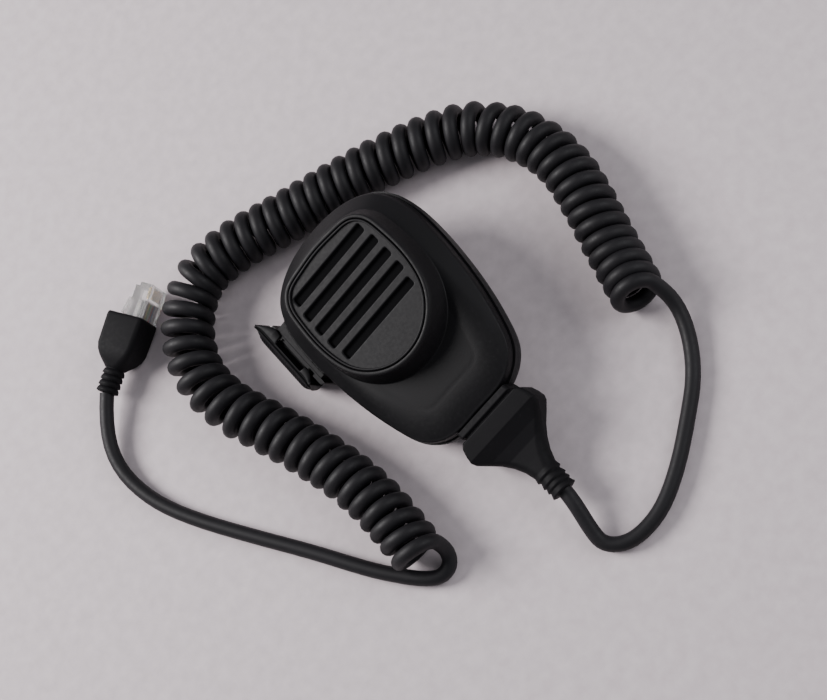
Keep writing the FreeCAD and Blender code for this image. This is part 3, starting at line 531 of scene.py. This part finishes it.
def front_case():
    """The front shell, as rings from its seam over the shoulder and the raised ring and back inside."""
    from_housing, from_ring = distance_finder(HOUSING), distance_finder(RING)
    ring_reach = radii(RING)

    def slope_share(depth):
        """How much of the shoulder's slope there is at a depth inside the housing."""
        return np.interp(depth, [0.6, 0.9, 1.5, 12.0], [0, 0.14, 0.29, 1.0])

    def surface(reach):
        """The outer skin over plan points: the bevel, the sloping shoulder and the raised face."""
        plan = around(reach)
        depth = from_housing(plan)
        outside = from_ring(plan) * np.where(reach > ring_reach, 1, -1)
        bevel = BEVEL_LEVEL + BEVEL_SLOPE * (depth - BEVEL_DEPTH)
        blend = np.interp(-plan[:, 1], [5, 25, 42], [0.9, 2.4, 5.0])
        low = smooth_min(bevel, np.full(len(plan), SHOULDER), blend)
        low = low + plan[:, 1] * SHOULDER_SLOPE * slope_share(depth)
        wall = np.interp(outside, [-0.35, 0.0, 0.2, 0.5, 3.2, 6.0], [FACE, 26.86, 26.6, 26.0, 17.0, 7.7])
        return np.column_stack([plan, smooth_max(low, wall, 0.55)])

    def level_ring(outline, depth, level, tilt=0.0):
        """A ring inside an outline at one level, or with a share of the shoulder's slope."""
        plan = around(radii(inset(outline, depth)))
        return np.column_stack([plan, level + tilt * plan[:, 1] * SHOULDER_SLOPE])

    def opened(ring):
        """Lift the shell's edge over the talk key's window and the cord's mouth."""
        x, y = ring[:, 0], ring[:, 1]
        window = (x < KEY_WINDOW["right"]) & (y > KEY_WINDOW["low"]) & (y < KEY_WINDOW["high"])
        mouth = (abs(x) < CORD_MOUTH["half"]) & (y < CORD_MOUTH["front"])
        ring[:, 2] = np.where(window, np.maximum(ring[:, 2], KEY_WINDOW["top"]), ring[:, 2])
        ring[:, 2] = np.where(mouth, np.maximum(ring[:, 2], CORD_MOUTH["top"]), ring[:, 2])
        return ring

    rings = [opened(level_ring(HOUSING, depth, level, tilt)) for depth, level, tilt in WALL_RINGS]
    outer, inner = radii(inset(HOUSING, BEVEL_DEPTH)), radii(inset(RING, RING_FOOT))
    for share in np.linspace(0, 1, 34):
        rings.append(surface(outer * (1 - share) + inner * share))
    for depth in np.concatenate((np.linspace(-4.25, -0.45, 26), [-0.3, -0.15, 0, 0.15, 0.35])):
        rings.append(surface(radii(inset(RING, depth))))
    for depth, level in SEAT_RINGS:
        rings.append(level_ring(RING, depth, level))
    # The inner skin, from under the seat back to the seam.
    rings.append(level_ring(RING, -1.2, 18.0, 1.0))
    rings.append(level_ring(HOUSING, 9.0, 17.3, 1.0))
    rings.append(opened(level_ring(HOUSING, 3.2, 13.6, 0.4)))
    mesh = ring_mesh("front_case_shell", [ring.tolist() for ring in rings], MIC, ends="join")
    add_piece("front_case_shell", mesh, "case_black", "microphone", ["front_case"])


# ---------------------------------------------------------------- grille panel

# Half the length of each slot, from the head down.
SLOT_REACH = [17.4, 18.3, 18.5, 18.3, 17.1]
SLOT_FIRST, SLOT_PITCH, SLOT_HALF, SLOT_CORNER = 17.2, 6.4, 1.7, 0.7
PLATE_BASE, PLATE_TOP, PLATE_EDGE = 25.2, 26.4, 0.5
BORDER_BASE, BORDER_TOP, BORDER_EDGE = PLATE_TOP - 0.5, 27.15, 0.3
BORDER_OUTSIDE, BORDER_INSIDE = 1.6, 2.35
PANEL_POINTS = 260


def cut_plate(name, loops, base, top, edge, nodes=()):
    """A flat plate with round edges: the first loop is its outline and the others are holes in it."""
    curve = bpy.data.curves.new(name, "CURVE")
    curve.dimensions = "2D"
    curve.fill_mode = "BOTH"
    for loop in loops:
        spline = curve.splines.new("POLY")
        spline.points.add(len(loop) - 1)
        for point, (x, y) in zip(spline.points, loop):
            point.co = (x, y, 0, 1)
        spline.use_cyclic_u = True
    curve.extrude = (top - base) / 2 - edge
    curve.bevel_depth = edge
    curve.bevel_resolution = 3
    curve.offset = -edge
    holder = bpy.data.objects.new(name, curve)
    bpy.context.scene.collection.objects.link(holder)
    mesh = bpy.data.meshes.new_from_object(holder)
    bpy.data.objects.remove(holder)
    mesh.transform(MIC @ Matrix.Translation((0, 0, (base + top) / 2)))
    mesh.materials.clear()
    turn_faces_out(mesh)
    add_piece(name, mesh, "panel_black", "microphone", nodes)


def grille():
    """The slotted plate and the thin raised border that frames it."""
    ring = smooth_loop(RING, PANEL_POINTS).tolist()
    rim, inner = inset(ring, BORDER_OUTSIDE), inset(ring, BORDER_INSIDE)
    slots = []
    for i, reach in enumerate(SLOT_REACH):
        y = SLOT_FIRST - i * SLOT_PITCH
        slots.append([(x, y + up) for x, up in rounded_ring(reach, -SLOT_HALF, SLOT_HALF, SLOT_CORNER, 5)])
    cut_plate("grille_plate", [rim] + slots, PLATE_BASE, PLATE_TOP, PLATE_EDGE, ["grille_panel"])
    cut_plate("grille_border", [rim, inner], BORDER_BASE, BORDER_TOP, BORDER_EDGE)


# ---------------------------------------------------------------- talk key

KEY_INNER, KEY_OUTER, KEY_TOP, KEY_BASE = -36.3, -42.2, 15.8, 4.6
KEY_LOW, KEY_HIGH, KEY_END = -1.4, 28.4, 4.6
KEY_CENTRE, KEY_RIDGE = -38.4, 16.2
# The share of its full section that the key still has at its two tips, and how much shallower it gets.
KEY_TIP, KEY_SINK = 0.5, 0.25
# Where the lip's edge is along the key. Between the second place and the third it leaves a recess.
KEY_LIP_PLACES = [4.0, 4.4, 18.0, 18.4, 21.0, 28.0]
KEY_LIP = [-34.0, KEY_INNER + 0.1, KEY_INNER + 0.1, -33.2, -32.8, -36.0]
KEY_RIB_PITCH, KEY_RIB_DEPTH, KEY_RIB_STEPS, KEY_UNRIBBED_END = 1.1, 0.22, 8, 1.2
STEM = {"half": 8.0, "centre": 11.0, "middle": 10.5, "thick": 5.6, "end": -24.05}


def key_profile(lip):
    """The key's section across its length: (x, z, share of the rib depth).

    It goes up the inner wall, out over the lip towards the case, back over the groove and the ridge, and
    down the ribbed slope to the base.
    """
    return [(KEY_INNER, KEY_BASE + 0.3, 0), (KEY_INNER, 10.0, 0), (KEY_INNER, KEY_TOP - 0.2, 0),
            (lip - 0.1, KEY_TOP - 0.2, 0), (lip, KEY_TOP, 0), (lip - 0.3, KEY_TOP + 0.3, 0),
            (KEY_INNER - 0.2, KEY_TOP + 0.35, 0), (KEY_INNER - 0.7, KEY_TOP + 0.2, 0),
            (KEY_INNER - 0.95, KEY_TOP - 0.5, 0), (KEY_INNER - 1.3, KEY_TOP - 0.5, 0),
            (KEY_INNER - 1.5, KEY_TOP + 0.15, 0), (KEY_INNER - 1.8, KEY_TOP + 0.2, 0),
            (KEY_INNER - 2.05, KEY_TOP - 0.2, 0), (KEY_INNER - 2.2, KEY_TOP - 0.7, 0.4),
            (KEY_INNER - 2.4, KEY_TOP - 1.1, 1), (KEY_OUTER + 1.6, KEY_TOP - 3.9, 1),
            (KEY_OUTER + 0.9, KEY_TOP - 4.6, 1), (KEY_OUTER + 0.3, KEY_TOP - 5.5, 1),
            (KEY_OUTER, KEY_TOP - 6.5, 0.5), (KEY_OUTER, 8.0, 0), (KEY_OUTER + 0.3, KEY_BASE + 1.2, 0),
            (KEY_OUTER + 0.8, KEY_BASE + 0.4, 0), (KEY_OUTER + 1.6, KEY_BASE, 0),
            (KEY_INNER - 0.3, KEY_BASE, 0)]


def talk_key():
    """A long bar with rounded ends and fine cross ribs, and the stem that reaches the switch."""
    steps = round((KEY_HIGH - KEY_LOW) / KEY_RIB_PITCH * KEY_RIB_STEPS)
    rings = []
    for i in range(steps + 1):
        y = KEY_LOW + (KEY_HIGH - KEY_LOW) * i / steps
        end = min(y - KEY_LOW, KEY_HIGH - y)
        fullness = math.sqrt(max(0.0, 1 - max(0.0, 1 - end / KEY_END) ** 2))
        fullness = max(KEY_TIP, fullness)
        lip = float(np.interp(y, KEY_LIP_PLACES, KEY_LIP))
        rib = 0.0
        if end > KEY_UNRIBBED_END:
            rib = KEY_RIB_DEPTH * (0.5 - 0.5 * math.cos(FULL_TURN * i / KEY_RIB_STEPS))
        ring = []
        for x, z, share in key_profile(lip):
            height = KEY_RIDGE - (KEY_RIDGE - z + rib * share) * (1 - KEY_SINK + KEY_SINK * fullness)
            across = KEY_CENTRE + (x + 0.3 * rib * share - KEY_CENTRE) * fullness
            ring.append((across, y, height))
        rings.append(ring)
    mesh = ring_mesh("talk_key_bar", rings, MIC)
    add_piece("talk_key_bar", mesh, "key_black", "talk_key", ["ptt_key"])
    rings = []
    half, thick = STEM["half"], STEM["thick"] / 2
    for x in (KEY_INNER - 1.0, KEY_INNER + 0.5, -30.0, STEM["end"] - 0.3, STEM["end"]):
        less = 0.25 if x == STEM["end"] else 0.0
        rings.append([(x, STEM["centre"] + sy * (half - less), STEM["middle"] + sz * (thick - less))
                      for sy, sz in ((-1, -1), (1, -1), (1, 1), (-1, 1))])
    mesh = ring_mesh("talk_key_stem", rings, MIC)
    mesh.polygons.foreach_set("use_smooth", [False] * len(mesh.polygons))
    add_piece("talk_key_stem", mesh, "key_black", "talk_key")


# ---------------------------------------------------------------- boots

def rounded_ring(half_width, low, high, corner, count=14):
    """A rectangle with round corners as (across, up) points, anticlockwise."""
    ring = []
    x, top, bottom = half_width - corner, high - corner, low + corner
    for cx, cz, start in ((x, top, 0), (-x, top, 90), (-x, bottom, 180), (x, bottom, 270)):
        for i in range(count + 1):
            angle = math.radians(start + 90 * i / count)
            ring.append((cx + corner * math.cos(angle), cz + corner * math.sin(angle)))
    return ring


# The boot at its stations along Y: half width, top, base, corner radius and sideways shift.
BOOT_WIDTH = [(-51.6, 11.7), (-54.0, 11.9), (-54.1, 11.2), (-54.9, 11.2), (-55.0, 13.2), (-56.4, 14.5),
              (-59.0, 15.4), (-61.5, 15.8), (-63.0, 15.3), (-65.5, 13.0), (-68.5, 10.0), (-72.0, 7.5),
              (-75.5, 5.7), (-79.0, 4.6), (-82.0, 4.1), (-88.6, 3.95)]
BOOT_TOP = [(-51.6, 14.5), (-51.9, 14.75), (-53.8, 14.9), (-54.0, 14.7), (-54.1, 13.8), (-54.9, 13.8),
            (-55.0, 14.3), (-55.4, 14.6), (-61.2, 14.1), (-61.9, 13.7), (-66.0, 11.6), (-70.0, 10.5),
            (-75.0, 10.3), (-88.6, 10.15)]
BOOT_BASE = [(-51.6, 3.2), (-54.0, 2.6), (-61.0, 2.2), (-66.0, 2.2), (-72.0, 2.1), (-82.0, 2.2), (-88.6, 2.3)]
BOOT_CORNER = [(-51.6, 1.2), (-61.0, 1.4), (-66.0, 2.6), (-72.0, 3.6), (-82.0, 3.95), (-88.6, 3.8)]
BOOT_SHIFT = [(-51.6, 0.3), (-55.0, 0.8), (-66.0, 0.8), (-80.0, 0), (-88.6, 0)]
NECK_RIBS = [-79.4, -81.9, -84.2, -86.4]
NECK_RIB_LENGTH, NECK_RIB_HEIGHT = 2.0, 0.75
BOOT_START, BOOT_STEP, BOOT_STEPS = -52.0, 0.3, 122
# The least flat that is left beside a round corner.
LEAST_FLAT = 0.02

# The plug's boot: each rib of its neck and then its body, as (x, half height, corner radius).
PLUG_RIBS, PLUG_RIB_START, PLUG_RIB_PITCH = 4, 0.3, 2.2
PLUG_BODY = [(9.0, 3.7, 3.4), (9.8, 4.2, 3.5), (11.0, 5.0, 3.2), (12.4, 5.8, 2.8), (14.2, 6.5, 2.3),
             (16.5, 6.95, 2.0), (27.0, 7.0, 1.6), (27.8, 6.9, 1.5), (28.25, 6.75, 1.3), (28.5, 6.4, 0.9)]


def along(table, y):
    """A table's value at a station, read between its entries."""
    return float(np.interp(-y, [-a for a, _ in table], [b for _, b in table]))


def cord_boot():
    """The rubber boot: a collar, a groove, a broad flat body and a concave taper to a ribbed neck."""
    stations = sorted({a for table in (BOOT_WIDTH, BOOT_TOP, BOOT_BASE, BOOT_CORNER) for a, _ in table}
                      | {round(BOOT_START - BOOT_STEP * i, 3) for i in range(BOOT_STEPS)}, reverse=True)
    rings = []
    for y in stations:
        wide, top, base, corner = (along(t, y) for t in (BOOT_WIDTH, BOOT_TOP, BOOT_BASE, BOOT_CORNER))
        for rib in NECK_RIBS:
            if rib >= y > rib - NECK_RIB_LENGTH:
                grow = NECK_RIB_HEIGHT * (rib - y) / NECK_RIB_LENGTH
                wide, top, base, corner = wide + grow, top + grow, base - grow, corner + grow
        corner = min(corner, wide - LEAST_FLAT, (top - base) / 2 - LEAST_FLAT)
        shift = along(BOOT_SHIFT, y)
        rings.append([(x + shift, y, z) for x, z in rounded_ring(wide, base, top, corner)])
    mesh = ring_mesh("cord_boot_skin", rings, MIC)
    add_piece("cord_boot_skin", mesh, "rubber_black", "microphone", ["cord_boot"])


def plug_boot():
    """The plug's rubber sleeve: a ribbed neck and a square body with round corners."""
    stations = []
    for i in range(PLUG_RIBS):
        start = PLUG_RIB_START + PLUG_RIB_PITCH * i
        stations += [(start - 0.3, 3.3, 3.28), (start, 4.05, 4.0), (start + 0.9, 3.95, 3.9),
                     (start + 1.7, 3.55, 3.5), (start + 1.85, 3.3, 3.28)]
    rings = []
    for x, half, corner in stations + PLUG_BODY:
        wide = half + 0.3 * min(1.0, max(0.0, (x - 9.0) / 5))
        corner = min(corner, half - LEAST_FLAT)
        rings.append([(x, y, z) for y, z in rounded_ring(half, -wide, wide, corner, 8)])
    mesh = ring_mesh("plug_boot_sleeve", rings, PLUG)
    add_piece("plug_boot_sleeve", mesh, "rubber_black", "microphone", ["plug_boot"])


# ---------------------------------------------------------------- cord

CORD_DIAMETER, COIL_DIAMETER = 0.0052, 0.0192
COIL_LEVEL = 0.0097
COIL_TURNS = 57.4
COIL_START = math.radians(36)
TURN_POINTS = 16
COIL_SAMPLES = 400
# The first turns lean along the coil, and every turn is a little uneven in size and lean.
LEAN, LEANING_TURNS = 0.0026, 4.0
UNEVEN_SIZE, UNEVEN_LEAN = 0.012, 0.0005
# How far each side of a point the coil's heading is read.
HEADING_REACH = 0.0015

# The cord from the microphone's boot to the coil, and from the coil to the plug's boot.
LEAD_MIC = [(0.00519, -0.0620, 0.00871), (0.0050, -0.0660, 0.0085), (0.0024, -0.0772, 0.0042),
            (0.0024, -0.0822, 0.00285), (0.0070, -0.0866, 0.00285), (0.0140, -0.0882, 0.00285),
            (0.0246, -0.0867, 0.00285), (0.0374, -0.0801, 0.00285), (0.0496, -0.0715, 0.00285),
            (0.0615, -0.0625, 0.00285), (0.0703, -0.0510, 0.0033), (0.0746, -0.0404, 0.0060)]
LEAD_PLUG = [(-0.0364, -0.0486, 0.0048), (-0.0392, -0.0526, 0.0031), (-0.0442, -0.0531, 0.00285),
             (-0.0491, -0.0492, 0.00285), (-0.0540, -0.0432, 0.00285), (-0.0607, -0.0339, 0.00285),
             (-0.0712, -0.0158, 0.00285), (-0.0836, 0.0034, 0.00285), (-0.0964, 0.0244, 0.00285),
             (-0.1032, 0.0404, 0.00285), (-0.1050, 0.0574, 0.0034), (-0.0986, 0.0716, 0.0054),
             (-0.0902, 0.0798, 0.0071)]
# The middle line of the curly stretch.
COIL = [(0.0670, -0.0323), (0.0727, -0.0112), (0.0784, 0.0058), (0.0821, 0.0233), (0.0788, 0.0409),
        (0.0684, 0.0556), (0.0532, 0.0637), (0.0359, 0.0702), (0.0174, 0.0754), (-0.0011, 0.0800),
        (-0.0201, 0.0860), (-0.0381, 0.0872), (-0.0526, 0.0764), (-0.0612, 0.0598), (-0.0602, 0.0418),
        (-0.0536, 0.0246), (-0.0480, 0.0070), (-0.0438, -0.0110), (-0.0426, -0.0280), (-0.0438, -0.0450)]
# How open the turns are along the curly stretch: (share of its length, relative pitch).
COIL_OPENNESS = [(0, 0.86), (0.15, 0.93), (0.27, 1.08), (0.45, 0.90), (0.58, 1.02), (0.73, 1.16),
                 (0.85, 1.02), (1, 0.97)]


def spline_curve(name, points, resolution=6):
    """A smooth open curve with the points as its control points."""
    curve = bpy.data.curves.new(name, "CURVE")
    curve.dimensions = "3D"
    spline = curve.splines.new("NURBS")
    spline.points.add(len(points) - 1)
    for point, place in zip(spline.points, points):
        point.co = (*place, 1)
    spline.order_u = 3
    spline.use_endpoint_u = True
    spline.resolution_u = resolution
    return curve


def read_line(points):
    """Points read from the smooth curve that a route makes."""
    curve = spline_curve("route", points, 24)
    holder = bpy.data.objects.new("route", curve)
    bpy.context.scene.collection.objects.link(holder)
    mesh = bpy.data.meshes.new_from_object(holder)
    line = np.array([vertex.co for vertex in mesh.vertices])
    bpy.data.objects.remove(holder)
    bpy.data.meshes.remove(mesh)
    return line


def coil_points():
    """The curly stretch: left-handed turns round its middle line, from the right side to the left."""
    line = read_line([(x, y, COIL_LEVEL) for x, y in COIL])
    run = np.concatenate(([0], np.cumsum(np.linalg.norm(np.diff(line, axis=0), axis=1))))
    length = run[-1]
    shares = np.linspace(0, 1, COIL_SAMPLES)
    openness = np.interp(shares, *zip(*COIL_OPENNESS))
    turns_at = np.concatenate(([0], np.cumsum(2 / (openness[1:] + openness[:-1]))))
    turns_at *= COIL_TURNS / turns_at[-1]
    radius = (COIL_DIAMETER - CORD_DIAMETER) / 2 / math.cos(math.pi / TURN_POINTS)

    def middle(distance):
        return Vector([np.interp(distance, run, line[:, k]) for k in range(3)])

    up = Vector((0, 0, 1))
    draw = random.Random(11)
    uneven = [draw.uniform(-1, 1) for _ in range(int(COIL_TURNS) + 3)]
    points = []
    count = int(COIL_TURNS * TURN_POINTS)
    for i in range(count + 1):
        turn = i / TURN_POINTS
        distance = np.interp(turn, turns_at, shares) * length
        heading = (middle(distance + HEADING_REACH) - middle(distance - HEADING_REACH)).normalized()
        side = heading.cross(up).normalized()
        angle = COIL_START + FULL_TURN * turn
        wobble = float(np.interp(turn, range(len(uneven)), uneven))
        here = radius * (1 + UNEVEN_SIZE * wobble)
        leaning = LEAN * max(0.0, 1 - turn / LEANING_TURNS)
        lean = heading * (leaning * math.sin(angle) + UNEVEN_LEAN * wobble * math.cos(angle))
        out = side * math.cos(angle) + up * math.sin(angle)
        points.append(tuple(middle(distance) + lean + here * out))
    return points


def cord():
    """The whole cord in one piece: the lead from the microphone, the coil, and the lead to the plug."""
    curve = spline_curve("curly_cord", LEAD_MIC + coil_points() + LEAD_PLUG, 4)
    curve.bevel_depth = CORD_DIAMETER / 2
    curve.bevel_resolution = 5
    curve.use_fill_caps = True
    piece = add_piece("curly_cord", curve, "cord_black", "microphone",
                      ["lead_mic", "curly_coil", "lead_plug"])


# ---------------------------------------------------------------- CAD pieces

FLOOR_REACH = 3.0


def add_floor():
    """A square floor at the ground plane."""
    corners = [(sx * FLOOR_REACH, sy * FLOOR_REACH, 0) for sx, sy in ((-1, -1), (1, -1), (1, 1), (-1, 1))]
    mesh = bpy.data.meshes.new("floor")
    mesh.from_pydata(corners, [], [(0, 1, 2, 3)])
    floor = bpy.data.objects.new("floor", mesh)
    mesh.materials.append(floor_material())
    bpy.context.scene.collection.objects.link(floor)


NODE_SLOTS = {
    "case_black": ["front_case", "rear_case", "hang_up_knob"],
    "rubber_black": ["seam_gasket", "capsule_holder", "cord_boot", "plug_boot"],
    "panel_black": ["grille_panel"],
    "cloth_black": ["dust_cloth"],
    "label_grey": ["rear_label"],
    "steel": ["knob_screw", "hook_contact_plate", "case_screws", "board_screws", "clamp_screws"],
    "key_black": ["ptt_key", "ptt_bezel"],
    "component_dark": ["ptt_switch", "board_components"],
    "nylon_white": ["switch_plunger", "cord_connector", "cord_clamp"],
    "board_green": ["circuit_board"],
    "capsule_aluminium": ["microphone_capsule"],
    "cord_black": ["cord_end", "lead_mic", "curly_coil", "lead_plug"],
    "wire_colour": ["inner_wires", "plug_wires"],
    "clear_plastic": ["modular_plug", "plug_latch"],
    "gold": ["plug_contacts"],
}

# How wide, in millimetres, the CAD nodes' sharp edges are rounded.
SOFT_EDGES = {"ptt_bezel": 0.35, "modular_plug": 0.18, "plug_latch": 0.15, "hang_up_knob": 0.2}
WELD_REACH = 0.002


def soften(node, width):
    """Round a CAD node's sharp edges."""
    weld = node.modifiers.new("weld", "WELD")
    weld.merge_threshold = WELD_REACH * MM
    bevel = node.modifiers.new("bevel", "BEVEL")
    bevel.width = width * MM
    bevel.segments = 3
    bevel.angle_limit = math.radians(40)
    node.modifiers.new("shading", "WEIGHTED_NORMAL")


def dress_cad_nodes():
    """Give every CAD node its finish, and the ones that need it soft edges."""
    for slot, names in NODE_SLOTS.items():
        for name in names:
            node = frame["nodes"][name]
            node.data.materials.clear()
            node.data.materials.append(materials[slot])
    for name, width in SOFT_EDGES.items():
        soften(frame["nodes"][name], width)


add_camera()
add_lights()
add_floor()
dress_cad_nodes()
front_case()
grille()
talk_key()
cord_boot()
plug_boot()
cord()
